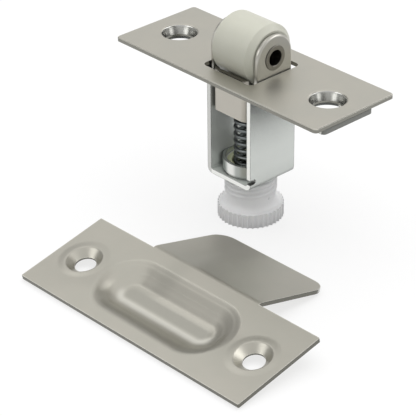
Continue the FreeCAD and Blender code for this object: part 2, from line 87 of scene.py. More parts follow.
class Piece(Enum):
    """The model's pieces, by the names that its frame gives them."""

    FACE_PLATE = "face_plate"
    BRACKET = "mounting_bracket"
    CARRIAGE = "slide_carriage"
    FORK = "roller_fork"
    RIVET = "axle_rivet"
    ROLLER = "roller"
    KNOB = "adjusting_knob"
    SPRING = "spring"
    STRIKE = "strike_plate"


@dataclass(frozen=True)
class Slope:
    """A smooth change from nothing at low to a height at high; low may be the larger."""

    low: float
    high: float
    height: float = 1.0


@dataclass(frozen=True)
class Span:
    """A stretch of values to both sides of a middle."""

    middle: float
    half: float


def srgb(red: int, green: int, blue: int) -> Colour:
    """Turns a colour as a screen shows it into the linear one that a shader takes.

    Args:
        red: Red from 0 to 255.
        green: Green from 0 to 255.
        blue: Blue from 0 to 255.

    Returns:
        The linear colour with an alpha of 1.
    """
    def linear(level: int) -> float:
        """One channel, made linear."""
        share = level / 255.0
        return share / 12.92 if share <= 0.04045 else ((share + 0.055) / 1.055) ** 2.4

    return (linear(red), linear(green), linear(blue), 1.0)


def grey(level: float) -> Colour:
    """A grey of one linear level."""
    return (level, level, level, 1.0)


@dataclass
class NodeSheet:
    """A node tree that is filled in from left to right."""

    tree: bpy.types.NodeTree
    count: int = 0

    def add(self, kind: str, **settings: object) -> bpy.types.Node:
        """Adds a node and sets its plain properties.

        Args:
            kind: The node's Blender type name.
            settings: Properties of the node, by name.

        Returns:
            The new node.
        """
        node = self.tree.nodes.new(kind)
        node.location = (COLUMN_STEP * (self.count % SHEET_COLUMNS),
                         -ROW_STEP * (self.count // SHEET_COLUMNS))
        self.count += 1
        for name, value in settings.items():
            setattr(node, name, value)
        return node

    def put(self, socket: bpy.types.NodeSocket, value: Value) -> None:
        """Gives a socket a value, or a link if the value is another socket.

        Args:
            socket: The input to fill.
            value: A socket, a number or a colour.
        """
        if isinstance(value, bpy.types.NodeSocket):
            self.tree.links.new(value, socket)
        else:
            socket.default_value = value

    def math(self, operation: str, first: Value, second: Value = 0.0,
             clamp: bool = False) -> bpy.types.NodeSocket:
        """Works out one number from two.

        Args:
            operation: The Math node's operation.
            first: The first number or socket.
            second: The second number or socket.
            clamp: Whether the result stays between 0 and 1.

        Returns:
            The result's socket.
        """
        node = self.add("ShaderNodeMath", operation=operation, use_clamp=clamp)
        self.put(node.inputs[0], first)
        self.put(node.inputs[1], second)
        return node.outputs[0]

    def product(self, first: Value, *others: Value) -> bpy.types.NodeSocket:
        """Multiplies numbers with each other.

        Args:
            first: The first number or socket.
            others: The numbers or sockets to multiply it by.

        Returns:
            The product's socket.
        """
        for other in others:
            first = self.math("MULTIPLY", first, other)
        return first

    def length(self, first: Value, second: Value) -> bpy.types.NodeSocket:
        """Works out the length of a flat vector.

        Args:
            first: Its first part, a number or socket.
            second: Its second part, a number or socket.

        Returns:
            The length's socket.
        """
        squares = self.math("ADD", self.product(first, first), self.product(second, second))
        return self.math("SQRT", squares)

    def mix(self, share: Value, first: Value, second: Value,
            kind: str = "RGBA") -> bpy.types.NodeSocket:
        """Mixes two colours, or two numbers.

        Args:
            share: How much of the second one shows.
            first: The first value or socket.
            second: The second value or socket.
            kind: The Mix node's data type.

        Returns:
            The result's socket.
        """
        node = self.add("ShaderNodeMix", data_type=kind)
        self.put(node.inputs["Factor"], share)
        self.put(node.inputs["A"], first)
        self.put(node.inputs["B"], second)
        return node.outputs["Result"]

    def blend(self, share: Value, first: Value, second: Value) -> bpy.types.NodeSocket:
        """Mixes two numbers as mix does two colours."""
        return self.mix(share, first, second, "FLOAT")

    def ramp(self, value: Value, low: Value, high: Value,
             start: float = 0.0, end: float = 1.0) -> bpy.types.NodeSocket:
        """Maps a range of one number onto another, smoothly.

        Args:
            value: The number or socket to map.
            low: The value that gives start.
            high: The value that gives end.
            start: The result at low.
            end: The result at high.

        Returns:
            The mapped number's socket.
        """
        node = self.add("ShaderNodeMapRange", interpolation_type="SMOOTHSTEP")
        self.put(node.inputs["Value"], value)
        self.put(node.inputs["From Min"], low)
        self.put(node.inputs["From Max"], high)
        self.put(node.inputs["To Min"], start)
        self.put(node.inputs["To Max"], end)
        return node.outputs["Result"]

    def slope(self, value: Value, shape: Slope) -> bpy.types.NodeSocket:
        """Reads a slope's height.

        Args:
            value: The number or socket to read it at.
            shape: The slope.

        Returns:
            The height's socket.
        """
        return self.ramp(value, shape.low, shape.high, end=shape.height)

    def beyond(self, value: Value, edge: Value, fade: float) -> bpy.types.NodeSocket:
        """Marks where a value has passed an edge.

        Args:
            value: The number or socket to watch.
            edge: Where the mark begins.
            fade: How far past the edge the mark is full.

        Returns:
            The mark's socket, from 0 to 1.
        """
        return self.math("MULTIPLY", self.math("SUBTRACT", value, edge), 1.0 / fade, clamp=True)

    def within(self, value: Value, span: Span) -> bpy.types.NodeSocket:
        """Marks where a value lies inside a span.

        Args:
            value: The number or socket to watch.
            span: The span.

        Returns:
            The mark's socket, 0 or 1.
        """
        mark = self.math("COMPARE", value, span.middle)
        mark.node.inputs[2].default_value = span.half
        return mark

    def place(self) -> bpy.types.NodeSocket:
        """Reads where the surface lies in the model's own frame.

        Returns:
            The place's socket.
        """
        return self.add("ShaderNodeTexCoord").outputs["Object"]

    def split(self, vector: Value) -> bpy.types.bpy_prop_collection:
        """Splits a vector into its parts.

        Args:
            vector: The vector's socket.

        Returns:
            The parts' sockets, named X, Y and Z.
        """
        node = self.add("ShaderNodeSeparateXYZ")
        self.put(node.inputs[0], vector)
        return node.outputs

    def own_place(self, centre: Value, turn: Value) -> bpy.types.bpy_prop_collection:
        """Reads where the surface lies from the middle of a piece that stands turned.

        Args:
            centre: The piece's middle.
            turn: The piece's rotation.

        Returns:
            The place's parts, named X, Y and Z.
        """
        own = self.add("ShaderNodeMapping", vector_type="TEXTURE")
        self.put(own.inputs["Vector"], self.place())
        self.put(own.inputs["Location"], centre)
        self.put(own.inputs["Rotation"], turn)
        return self.split(own.outputs["Vector"])

    def facing(self, axis: Value) -> bpy.types.NodeSocket:
        """Measures how squarely the surface faces one way or the other along an axis.

        Args:
            axis: The axis.

        Returns:
            The measure's socket, 1 for squarely and 0 for sideways on.
        """
        turned = self.add("ShaderNodeVectorMath", operation="DOT_PRODUCT")
        self.put(turned.inputs[0], self.add("ShaderNodeTexCoord").outputs["Normal"])
        self.put(turned.inputs[1], axis)
        return self.math("ABSOLUTE", turned.outputs["Value"])

    def noise(self, scale: Value, detail: float) -> bpy.types.NodeSocket:
        """Adds a noise that changes over the surface.

        Args:
            scale: Its frequency, per metre.
            detail: How many finer octaves it has.

        Returns:
            The noise's value, around 0.5.
        """
        node = self.add("ShaderNodeTexNoise")
        self.put(node.inputs["Vector"], self.place())
        self.put(node.inputs["Scale"], scale)
        node.inputs["Detail"].default_value = detail
        return node.outputs["Fac"]

    def bump(self, height: bpy.types.NodeSocket, depth: float, strength: float = 1.0,
             under: bpy.types.NodeSocket | None = None) -> bpy.types.NodeSocket:
        """Bends the surface's normal by a height.

        Args:
            height: The height's socket.
            depth: How far a height of 1 stands out.
            strength: How much of the bend shows.
            under: A normal that is bent already, if there is one.

        Returns:
            The bent normal's socket.
        """
        node = self.add("ShaderNodeBump")
        node.inputs["Strength"].default_value = strength
        node.inputs["Distance"].default_value = depth
        self.put(node.inputs["Height"], height)
        if under is not None:
            self.put(node.inputs["Normal"], under)
        return node.outputs["Normal"]


def empty_sheet(owner: bpy.types.Material | bpy.types.World) -> NodeSheet:
    """Clears what a new material or world holds.

    Args:
        owner: The material or world.

    Returns:
        Its empty node sheet.
    """
    owner.use_nodes = True
    owner.node_tree.nodes.clear()
    return NodeSheet(owner.node_tree)


def group_sheet(name: str, inputs: dict[str, tuple[Socket, object]],
                outputs: dict[str, Socket]) -> tuple[NodeSheet, bpy.types.Node, bpy.types.Node]:
    """Makes an empty shader node group.

    Args:
        name: The group's name.
        inputs: Each input's kind and default, by name.
        outputs: Each output's kind, by name.

    Returns:
        The group's node sheet, its input node and its output node.
    """
    tree = bpy.data.node_groups.new(name, "ShaderNodeTree")
    for label, (kind, default) in inputs.items():
        socket = tree.interface.new_socket(name=label, in_out="INPUT", socket_type=kind.value)
        socket.default_value = default
    for label, kind in outputs.items():
        tree.interface.new_socket(name=label, in_out="OUTPUT", socket_type=kind.value)
    sheet = NodeSheet(tree)
    return sheet, sheet.add("NodeGroupInput"), sheet.add("NodeGroupOutput")


@dataclass(frozen=True)
class BracketPlaces:
    """Where the folded bracket's own parts lie, from the catch's axis and the plate's face.

    Attributes:
        wall_reach: How far out the outsides of the side walls begin.
        wall_fade: Over how much the mark of the outsides sets in.
        wall_inside: How far out the inner faces of the side walls begin.
        collar_radius: Just more than the drawn collar's own radius.
        collar_fade: Over how much the collar's mark sets in at its side.
        collar_foot: Where the collar leaves the bracket's floor.
        collar_foot_fade: Over how much its mark sets in at its foot.
        collar_top: Just above the collar's rim.
        slot_across: Where the relief slots lie along X, on both sides.
        slot_along: Where they lie along Y, on both sides.
        slot_height: Where they lie along Z.
    """

    wall_reach: float = 6.4 * MM
    wall_fade: float = 0.5 * MM
    wall_inside: float = 5.94 * MM
    collar_radius: float = 6.8 * MM
    collar_fade: float = 0.05 * MM
    collar_foot: float = -26.7 * MM
    collar_foot_fade: float = 0.125 * MM
    collar_top: float = -23.2 * MM
    slot_across: Span = Span(6.57 * MM, 0.57 * MM)
    slot_along: Span = Span(6.3 * MM, 0.83 * MM)
    slot_height: Span = Span(-25.65 * MM, 0.64 * MM)


@dataclass(frozen=True)
class RecessProfile:
    """How the sheet falls and rises round a pressed recess, by the distance from its spine.

    Attributes:
        half_spine: Half the length of the recess's straight middle line.
        near_shift: How far the near side's fall is shifted outward.
        near_foot: Where the near side's fall begins.
        near_rim: Where it ends.
        near_height: How high it rises.
        step: The low step in the floor.
        step_along: Where along the spine the step sets in.
        far_foot: The rise at the far wall's foot.
        far_wall: The hollow in the far wall.
        far_rim: The rise at the far wall's rim.
        far_side: Where the near side passes into the far side, as Y over the distance.
        highlight_inner: The painted highlight's edge toward the spine.
        highlight_outer: Its edge toward the wall.
        floor: Where the painted shade in the middle of the floor sets in.
    """

    half_spine: float = 11.2 * MM
    near_shift: float = 1.3 * MM
    near_foot: float = 4.8 * MM
    near_rim: float = 8.1 * MM
    near_height: float = 1.85
    step: Slope = Slope(1.0 * MM, 2.8 * MM, 0.42)
    step_along: Slope = Slope(-9.5 * MM, -3.0 * MM)
    far_foot: Slope = Slope(2.6 * MM, 4.5 * MM, 0.5)
    far_wall: Slope = Slope(4.3 * MM, 6.6 * MM, -0.7)
    far_rim: Slope = Slope(7.3 * MM, 9.0 * MM, 0.5)
    far_side: Slope = Slope(-0.7, 0.4)
    highlight_inner: Slope = Slope(1.0 * MM, 2.7 * MM)
    highlight_outer: Slope = Slope(4.2 * MM, 2.7 * MM)
    floor: Slope = Slope(2.4 * MM, 0.8 * MM)


class Effects:
    """The shader node groups that the finishes share."""

    GRAIN_DETAIL = 3.0
    CLOUD_DETAIL = 4.0
    CLOUD_SLOPE = Slope(0.35, 0.68)
    # These four read a cosine, which is 1 for a face that looks straight along the axis.
    AXIS_FADE = 0.025
    SIDE_SLOPE = Slope(0.16, 0.06)
    STEEP_SLOPE = Slope(0.75, 0.45)
    EDGE_SLOPE = Slope(0.998, 0.93)
    # Rays that feel for nearby surfaces and edges.
    NEARBY_SAMPLES = 6

    def __init__(self) -> None:
        """Builds every group once."""
        self.grain = self._build_grain()
        self.mottle = self._build_mottle()
        self.painted_shade = self._build_painted_shade()
        self.axis_face = self._build_axis_face()
        self.side_face = self._build_side_face()
        self.edge_line = self._build_edge_line()
        self.dished = self._build_dished()
        self.trough = self._build_trough(RecessProfile())
        self.bracket_parts = self._build_bracket_parts(BracketPlaces())

    def _build_grain(self) -> bpy.types.NodeTree:
        """The fine grain that plating or moulding leaves.

        Returns:
            The node group.
        """
        sheet, given, result = group_sheet(
            "worked_grain",
            {"Scale": (Socket.NUMBER, 4000.0),
             "Roughness": (Socket.NUMBER, 0.3),
             "Spread": (Socket.NUMBER, 0.08)},
            {"Roughness": Socket.NUMBER, "Height": Socket.NUMBER})
        specks = sheet.noise(given.outputs["Scale"], self.GRAIN_DETAIL)
        swing = sheet.product(sheet.math("SUBTRACT", specks, 0.5), given.outputs["Spread"])
        sheet.put(result.inputs["Roughness"], sheet.math("ADD", given.outputs["Roughness"], swing))
        sheet.put(result.inputs["Height"], specks)
        return sheet.tree

    def _build_mottle(self) -> bpy.types.NodeTree:
        """Soft clouds of a second tone, as a plating or a moulding shows.

        Returns:
            The node group.
        """
        sheet, given, result = group_sheet(
            "mottle",
            {"Colour": (Socket.COLOUR, grey(0.5)),
             "Second Colour": (Socket.COLOUR, grey(0.45)),
             "Scale": (Socket.NUMBER, 90.0),
             "Amount": (Socket.NUMBER, 0.5)},
            {"Colour": Socket.COLOUR})
        clouds = sheet.noise(given.outputs["Scale"], self.CLOUD_DETAIL)
        mask = sheet.product(sheet.slope(clouds, self.CLOUD_SLOPE), given.outputs["Amount"])
        sheet.put(result.inputs["Colour"],
                  sheet.mix(mask, given.outputs["Colour"], given.outputs["Second Colour"]))
        return sheet.tree

    def _build_painted_shade(self) -> bpy.types.NodeTree:
        """Painted shade that darkens corners and the places under edges.

        Returns:
            The node group.
        """
        sheet, given, result = group_sheet(
            "painted_corner_shade",
            {"Colour": (Socket.COLOUR, grey(0.5)),
             "Film Colour": (Socket.COLOUR, grey(0.1)),
             "Reach": (Socket.NUMBER, 3.0 * MM),
             "Open": (Socket.NUMBER, 0.9),
             "Closed": (Socket.NUMBER, 0.25),
             "Amount": (Socket.NUMBER, 0.5)},
            {"Colour": Socket.COLOUR, "Mask": Socket.NUMBER})
        corner = sheet.add("ShaderNodeAmbientOcclusion", samples=self.NEARBY_SAMPLES)
        sheet.put(corner.inputs["Distance"], given.outputs["Reach"])
        closed = sheet.ramp(corner.outputs["AO"], given.outputs["Open"], given.outputs["Closed"])
        mask = sheet.product(closed, given.outputs["Amount"])
        sheet.put(result.inputs["Colour"],
                  sheet.mix(mask, given.outputs["Colour"], given.outputs["Film Colour"]))
        sheet.put(result.inputs["Mask"], mask)
        return sheet.tree

    def _build_axis_face(self) -> bpy.types.NodeTree:
        """A mask of the faces that look along one axis.

        Returns:
            The node group.
        """
        sheet, given, result = group_sheet(
            "axis_face",
            {"Axis": (Socket.VECTOR, (0.0, 1.0, 0.0)),
             "Tightness": (Socket.NUMBER, 0.97)},
            {"Mask": Socket.NUMBER})
        sheet.put(result.inputs["Mask"], sheet.beyond(
            sheet.facing(given.outputs["Axis"]), given.outputs["Tightness"], self.AXIS_FADE))
        return sheet.tree

    def _build_side_face(self) -> bpy.types.NodeTree:
        """Masks of a sheet's cut sides and of the steep walls pressed into it.

        Returns:
            The node group.
        """
        sheet, given, result = group_sheet(
            "side_face",
            {"Axis": (Socket.VECTOR, (0.0, 0.0, 1.0))},
            {"Side": Socket.NUMBER, "Steep": Socket.NUMBER})
        flat = sheet.facing(given.outputs["Axis"])
        sheet.put(result.inputs["Side"], sheet.slope(flat, self.SIDE_SLOPE))
        sheet.put(result.inputs["Steep"], sheet.slope(flat, self.STEEP_SLOPE))
        return sheet.tree

    def _build_edge_line(self) -> bpy.types.NodeTree:
        """A mask of a narrow line along every crisp edge.

        Returns:
            The node group.
        """
        sheet, given, result = group_sheet(
            "edge_line",
            {"Width": (Socket.NUMBER, 0.2 * MM)},
            {"Mask": Socket.NUMBER})
        rounded = sheet.add("ShaderNodeBevel", samples=self.NEARBY_SAMPLES)
        sheet.put(rounded.inputs["Radius"], given.outputs["Width"])
        apart = sheet.add("ShaderNodeVectorMath", operation="DOT_PRODUCT")
        sheet.put(apart.inputs[0], rounded.outputs["Normal"])
        sheet.put(apart.inputs[1], sheet.add("ShaderNodeNewGeometry").outputs["Normal"])
        sheet.put(result.inputs["Mask"], sheet.slope(apart.outputs["Value"], self.EDGE_SLOPE))
        return sheet.tree

    def _build_dished(self) -> bpy.types.NodeTree:
        """The shallow dip that a countersinking punch leaves round two screw holes.

        Returns:
            The node group.
        """
        sheet, given, result = group_sheet(
            "dished",
            {"Centre": (Socket.VECTOR, (0.0, 0.0, 0.0)),
             "Turn": (Socket.VECTOR, (0.0, 0.0, 0.0)),
             "Half Spacing": (Socket.NUMBER, 24.0 * MM),
             "Inner": (Socket.NUMBER, 4.3 * MM),
             "Outer": (Socket.NUMBER, 6.0 * MM)},
            {"Height": Socket.NUMBER})
        place = sheet.own_place(given.outputs["Centre"], given.outputs["Turn"])
        along = sheet.math("SUBTRACT", sheet.math("ABSOLUTE", place["X"]),
                           given.outputs["Half Spacing"])
        radius = sheet.length(along, place["Y"])
        sheet.put(result.inputs["Height"],
                  sheet.ramp(radius, given.outputs["Inner"], given.outputs["Outer"]))
        return sheet.tree

    def _build_trough(self, recess: RecessProfile) -> bpy.types.NodeTree:
        """The soft fall of the sheet round an oblong pressed recess, with a painted highlight
        along its near foot and painted shade on its floor.

        Args:
            recess: The recess's profile.

        Returns:
            The node group.
        """
        sheet, given, result = group_sheet(
            "trough",
            {"Centre": (Socket.VECTOR, (0.0, 0.0, 0.0)),
             "Turn": (Socket.VECTOR, (0.0, 0.0, 0.0))},
            {"Height": Socket.NUMBER, "Painted Highlight": Socket.NUMBER, "Floor Shade": Socket.NUMBER})
        place = sheet.own_place(given.outputs["Centre"], given.outputs["Turn"])
        past_spine = sheet.math("MAXIMUM", sheet.math(
            "SUBTRACT", sheet.math("ABSOLUTE", place["X"]), recess.half_spine), 0.0)
        shifted = sheet.length(past_spine, sheet.math("ADD", place["Y"], recess.near_shift))
        radius = sheet.length(past_spine, place["Y"])
        near = sheet.ramp(shifted, recess.near_foot, recess.near_rim, end=recess.near_height)
        step = sheet.product(sheet.slope(radius, recess.step),
                             sheet.slope(place["X"], recess.step_along))
        inner = sheet.math("ADD", step, sheet.slope(radius, recess.far_foot))
        outer = sheet.math("ADD", sheet.slope(radius, recess.far_wall),
                           sheet.slope(radius, recess.far_rim))
        far = sheet.math("ADD", inner, outer)
        side = sheet.slope(sheet.math("DIVIDE", place["Y"], radius), recess.far_side)
        sheet.put(result.inputs["Height"], sheet.blend(side, near, far))
        # A painted highlight along the near foot of the recess.
        painted_highlight = sheet.product(sheet.slope(radius, recess.highlight_inner),
                               sheet.slope(radius, recess.highlight_outer),
                               sheet.math("SUBTRACT", 1.0, side))
        sheet.put(result.inputs["Painted Highlight"], painted_highlight)
        # Painted shade in the middle of the floor.
        sheet.put(result.inputs["Floor Shade"], sheet.slope(radius, recess.floor))
        return sheet.tree

    def _build_bracket_parts(self, places: BracketPlaces) -> bpy.types.NodeTree:
        """Masks of the bracket's outsides, of its drawn collar and of its relief slots.

        Args:
            places: Where these parts lie.

        Returns:
            The node group.
        """
        sheet, given, result = group_sheet(
            "bracket_parts",
            {"Reach": (Socket.NUMBER, places.wall_reach)},
            {"Outside": Socket.NUMBER, "Collar": Socket.NUMBER, "Slot": Socket.NUMBER})
        place = sheet.split(sheet.place())
        away = sheet.math("ABSOLUTE", place["X"])
        sheet.put(result.inputs["Outside"],
                  sheet.beyond(away, given.outputs["Reach"], places.wall_fade))
        radius = sheet.length(place["X"], place["Y"])
        sheet.put(result.inputs["Collar"], sheet.product(
            sheet.beyond(places.collar_radius, radius, places.collar_fade),
            sheet.beyond(place["Z"], places.collar_foot, places.collar_foot_fade),
            sheet.math("LESS_THAN", place["Z"], places.collar_top),
            sheet.math("LESS_THAN", away, places.wall_inside)))
        sheet.put(result.inputs["Slot"], sheet.product(
            sheet.within(place["Z"], places.slot_height),
            sheet.within(away, places.slot_across),
            sheet.within(sheet.math("ABSOLUTE", place["Y"]), places.slot_along)))
        return sheet.tree


def place_group(sheet: NodeSheet, tree: bpy.types.NodeTree, **values: Value) -> bpy.types.Node:
    """Puts a group into a material with its own values.

    Args:
        sheet: The material's node sheet.
        tree: The group to place.
        values: The group's inputs by name, with _ for a space.

    Returns:
        The group's node.
    """
    node = sheet.add("ShaderNodeGroup", node_tree=tree)
    for name, value in values.items():
        sheet.put(node.inputs[name.replace("_", " ")], value)
    return node


def new_material(name: str) -> tuple[bpy.types.Material, NodeSheet, bpy.types.Node]:
    """Makes a material that holds one Principled shader.

    Args:
        name: The material's name.

    Returns:
        The material, its node sheet and its shader node.
    """
    material = bpy.data.materials.new(name)
    sheet = empty_sheet(material)
    shader = sheet.add("ShaderNodeBsdfPrincipled")
    output = sheet.add("ShaderNodeOutputMaterial")
    sheet.put(output.inputs["Surface"], shader.outputs["BSDF"])
    return material, sheet, shader


@dataclass
class Coat:
    """What a finish has built up so far, before it goes into its shader."""

    sheet: NodeSheet
    effects: Effects
    colour: Value
    metal: Value
    rough: Value
    normal: bpy.types.NodeSocket | None = None

    def tint(self, share: Value, colour: Value) -> None:
        """Mixes a share of a colour in."""
        self.colour = self.sheet.mix(share, self.colour, colour)

    def bare(self, share: Value, metal: float = 1.0) -> None:
        """Brings a share of the surface to another metallic value."""
        self.metal = self.sheet.blend(share, self.metal, metal)


class Layer(ABC):
    """Something that a finish shows over its plain coat."""

    @abstractmethod
    def lay(self, coat: Coat) -> None:
        """Adds the layer to a coat.

        Args:
            coat: The coat so far.
        """


@dataclass(frozen=True)
class CutFacesAndShade(Layer):
    """Faces that look along one axis, in a tone of their own: bright bare cut edges on the
    bracket, painted shade elsewhere.

    Attributes:
        colour: Their tone.
        share: How much of it shows.
        axis: The axis that they look along, one way or the other.
        bare: Whether they are bare metal.
        left_wall: Where the left wall's cut faces end along X, if they take painted shade.
        left_shade_colour: That painted shade.
        left_shade_share: How much of it shows.
    """

    colour: Colour
    share: float
    axis: Point = (0.0, 1.0, 0.0)
    bare: bool = False
    left_wall: float | None = None
    left_shade_colour: Colour = srgb(180, 181, 178)
    left_shade_share: float = 0.8

    def lay(self, coat: Coat) -> None:
        """Tints the faces, and paints shade on the left wall's cut faces.

        Args:
            coat: The coat so far.
        """
        sheet = coat.sheet
        cut = place_group(sheet, coat.effects.axis_face, Axis=self.axis)
        share = sheet.product(cut.outputs["Mask"], self.share)
        coat.tint(share, self.colour)
        # The left wall's cut faces are painted darker as shade.
        if self.left_wall is not None:
            left = sheet.math("LESS_THAN", sheet.split(sheet.place())["X"], self.left_wall)
            coat.tint(sheet.product(share, left, self.left_shade_share), self.left_shade_colour)
        if self.bare:
            coat.bare(cut.outputs["Mask"])


@dataclass(frozen=True)
class EdgeHighlightAndShade(Layer):
    """A thin line along every crisp edge: a painted highlight where its colour is light, painted
    shade where it is dark.
    """

    colour: Colour
    share: float
    width: float = 0.22 * MM
    metallic: float | None = None

    def lay(self, coat: Coat) -> None:
        """Draws the line.

        Args:
            coat: The coat so far.
        """
        line = place_group(coat.sheet, coat.effects.edge_line, Width=self.width)
        share = coat.sheet.product(line.outputs["Mask"], self.share)
        coat.tint(share, self.colour)
        if self.metallic is not None:
            coat.bare(share, self.metallic)


@dataclass(frozen=True)
class SheetSides(Layer):
    """A flat sheet's cut sides, and the steep walls pressed into it."""

    colour: Colour
    steep_colour: Colour = srgb(202, 202, 199)
    steep_roughness: float = 0.2
    axis: Point = (0.0, 0.0, 1.0)

    def lay(self, coat: Coat) -> None:
        """Tints the walls and the sides, and smooths the walls.

        Args:
            coat: The coat so far.
        """
        faces = place_group(coat.sheet, coat.effects.side_face, Axis=self.axis)
        coat.tint(faces.outputs["Steep"], self.steep_colour)
        coat.tint(faces.outputs["Side"], self.colour)
        coat.rough = coat.sheet.blend(faces.outputs["Steep"], coat.rough, self.steep_roughness)


@dataclass(frozen=True)
class FoldedStrip(Layer):
    """Painted shade of the plate on the bracket's outsides, the collar's tone, and painted shade
    on the flanges' ends.
    """

    plate_shade_colour: Colour = srgb(62, 64, 62)
    plate_shade_reach: float = 16.0 * MM
    plate_shade_open: float = 0.95
    plate_shade_closed: float = 0.62
    collar_colour: Colour = srgb(180, 184, 180)
    flange_start: float = 28.0 * MM
    flange_shade_colour: Colour = srgb(112, 112, 107)
    flange_shade_share: float = 0.85

    def lay(self, coat: Coat) -> None:
        """Paints the plate's shade on the outsides, then tints the collar and paints shade on the
        flanges' ends.

        Args:
            coat: The coat so far.
        """
        sheet, effects = coat.sheet, coat.effects
        parts = place_group(sheet, effects.bracket_parts)
        # The face plate's shade on the outer walls is painted.
        plate_shade = place_group(sheet, effects.painted_shade, Colour=coat.colour,
                           Film_Colour=self.plate_shade_colour, Reach=self.plate_shade_reach,
                           Open=self.plate_shade_open, Closed=self.plate_shade_closed,
                           Amount=parts.outputs["Outside"])
        coat.colour = plate_shade.outputs["Colour"]
        coat.tint(parts.outputs["Collar"], self.collar_colour)
        coat.bare(parts.outputs["Collar"])
        # The flanges' ends under the plate are painted dark as shade.
        far = place_group(sheet, effects.bracket_parts, Reach=self.flange_start)
        coat.tint(sheet.product(far.outputs["Outside"], self.flange_shade_share), self.flange_shade_colour)


@dataclass(frozen=True)
class ReliefSlotShade(Layer):
    """The painted shade inside the slots that free the bracket's folds."""

    colour: Colour = srgb(66, 67, 65)
    share: float = 0.9

    def lay(self, coat: Coat) -> None:
        """Paints shade inside the slots.

        Args:
            coat: The coat so far.
        """
        parts = place_group(coat.sheet, coat.effects.bracket_parts)
        coat.tint(coat.sheet.product(parts.outputs["Slot"], self.share), self.colour)


@dataclass(frozen=True)
class PressedSheet(Layer):
    """The soft fall of the strike plate round its screw cups and its recess, with painted
    highlight and painted shade in the recess.
    """

    centre: Point = (20.79 * MM, -45.99 * MM, -35.19 * MM)
    turn: Point = (math.radians(11.57), 0.0, math.radians(0.81))
    half_spacing: float = 26.95 * MM
    cup_reach: float = 6.4 * MM
    cup_fall: float = -0.2 * MM
    recess_fall: float = 0.5 * MM
    painted_highlight_colour: Colour = srgb(218, 216, 207)
    painted_highlight_share: float = 0.8
    floor_shade_colour: Colour = srgb(172, 170, 161)

    def faces(self) -> Point:
        """The direction that the sheet faces."""
        return tuple(Euler(self.turn).to_matrix() @ Vector((0.0, 0.0, 1.0)))

    def lay(self, coat: Coat) -> None:
        """Bends the normal round cups and recess, and paints a highlight along the recess's near
        foot and shade on its floor.

        Args:
            coat: The coat so far.
        """
        sheet = coat.sheet
        cups = place_group(sheet, coat.effects.dished, Centre=self.centre, Turn=self.turn,
                           Half_Spacing=self.half_spacing, Outer=self.cup_reach)
        recess = place_group(sheet, coat.effects.trough, Centre=self.centre, Turn=self.turn)
        dip = sheet.bump(cups.outputs["Height"], self.cup_fall)
        coat.normal = sheet.bump(recess.outputs["Height"], self.recess_fall, under=dip)
        # Painted highlight along the recess's near foot, painted shade on its floor.
        coat.tint(sheet.product(recess.outputs["Painted Highlight"], self.painted_highlight_share), self.painted_highlight_colour)
        coat.tint(recess.outputs["Floor Shade"], self.floor_shade_colour)


@dataclass(frozen=True)
class CornerShade:
    """The painted shade in a finish's corners."""

    colour: Colour = srgb(70, 70, 64)
    amount: float = 0.35
    reach: float = 2.5 * MM


@dataclass(frozen=True)
class KnobBore(Layer):
    """The tone inside the knob's hollow shank."""

    colour: Colour
    radius: float = 5.6 * MM
    foot: float = -28.0 * MM

    def lay(self, coat: Coat) -> None:
        """Tints the bore.

        Args:
            coat: The coat so far.
        """
        place = coat.sheet.split(coat.sheet.place())
        inside = coat.sheet.product(
            coat.sheet.math("LESS_THAN", coat.sheet.length(place["X"], place["Y"]), self.radius),
            coat.sheet.math("GREATER_THAN", place["Z"], self.foot))
        coat.tint(inside, self.colour)


@dataclass(frozen=True)
class Finish:
    """A surface with soft clouds, painted shade and more roughness in its corners, and a fine
    grain.
    """

    name: str
    colour: Colour
    second: Colour
    roughness: float
    corner_shade: CornerShade = CornerShade()
    layers: tuple[Layer, ...] = ()
    metallic: float = 0.0
    spread: float = 0.1
    cloud_scale: float = 160.0
    cloud_amount: float = 0.6
    grain_scale: float = 2600.0
    grain_depth: float = 0.01 * MM
    grain_strength: float = 0.25
    corner_roughness: float = 0.0

    def make(self, effects: Effects) -> bpy.types.Material:
        """Builds the material.

        Args:
            effects: The shared node groups.

        Returns:
            The finished material.
        """
        material, sheet, shader = new_material(self.name)
        clouds = place_group(sheet, effects.mottle, Colour=self.colour,
                             Second_Colour=self.second, Scale=self.cloud_scale,
                             Amount=self.cloud_amount)
        # Painted shade darkens the corners; its mask also makes them rougher.
        corner_shade = place_group(sheet, effects.painted_shade, Colour=clouds.outputs["Colour"],
                           Film_Colour=self.corner_shade.colour, Reach=self.corner_shade.reach,
                           Amount=self.corner_shade.amount)
        grain = place_group(sheet, effects.grain, Scale=self.grain_scale,
                            Roughness=self.roughness, Spread=self.spread)
        dulled = sheet.product(corner_shade.outputs["Mask"], self.corner_roughness)
        coat = Coat(sheet, effects, corner_shade.outputs["Colour"], self.metallic,
                    sheet.math("ADD", grain.outputs["Roughness"], dulled))
        for layer in self.layers:
            layer.lay(coat)
        normal = sheet.bump(grain.outputs["Height"], self.grain_depth, self.grain_strength,
                            coat.normal)
        sheet.put(shader.inputs["Base Color"], coat.colour)
        sheet.put(shader.inputs["Metallic"], coat.metal)
        sheet.put(shader.inputs["Roughness"], coat.rough)
        sheet.put(shader.inputs["Normal"], normal)
        self.fill(shader)
        return material

    def fill(self, shader: bpy.types.Node) -> None:
        """Leaves the shader's other sockets as they are."""


@dataclass(frozen=True)
class PlatedSteel(Finish):
    """Pressed steel under a thin bright plating."""

    metallic: float = 1.0
    spread: float = 0.06
    cloud_scale: float = 110.0
    cloud_amount: float = 0.7
    grain_scale: float = 5200.0
    grain_depth: float = 0.004 * MM
    grain_strength: float = 0.35
    corner_roughness: float = 0.25


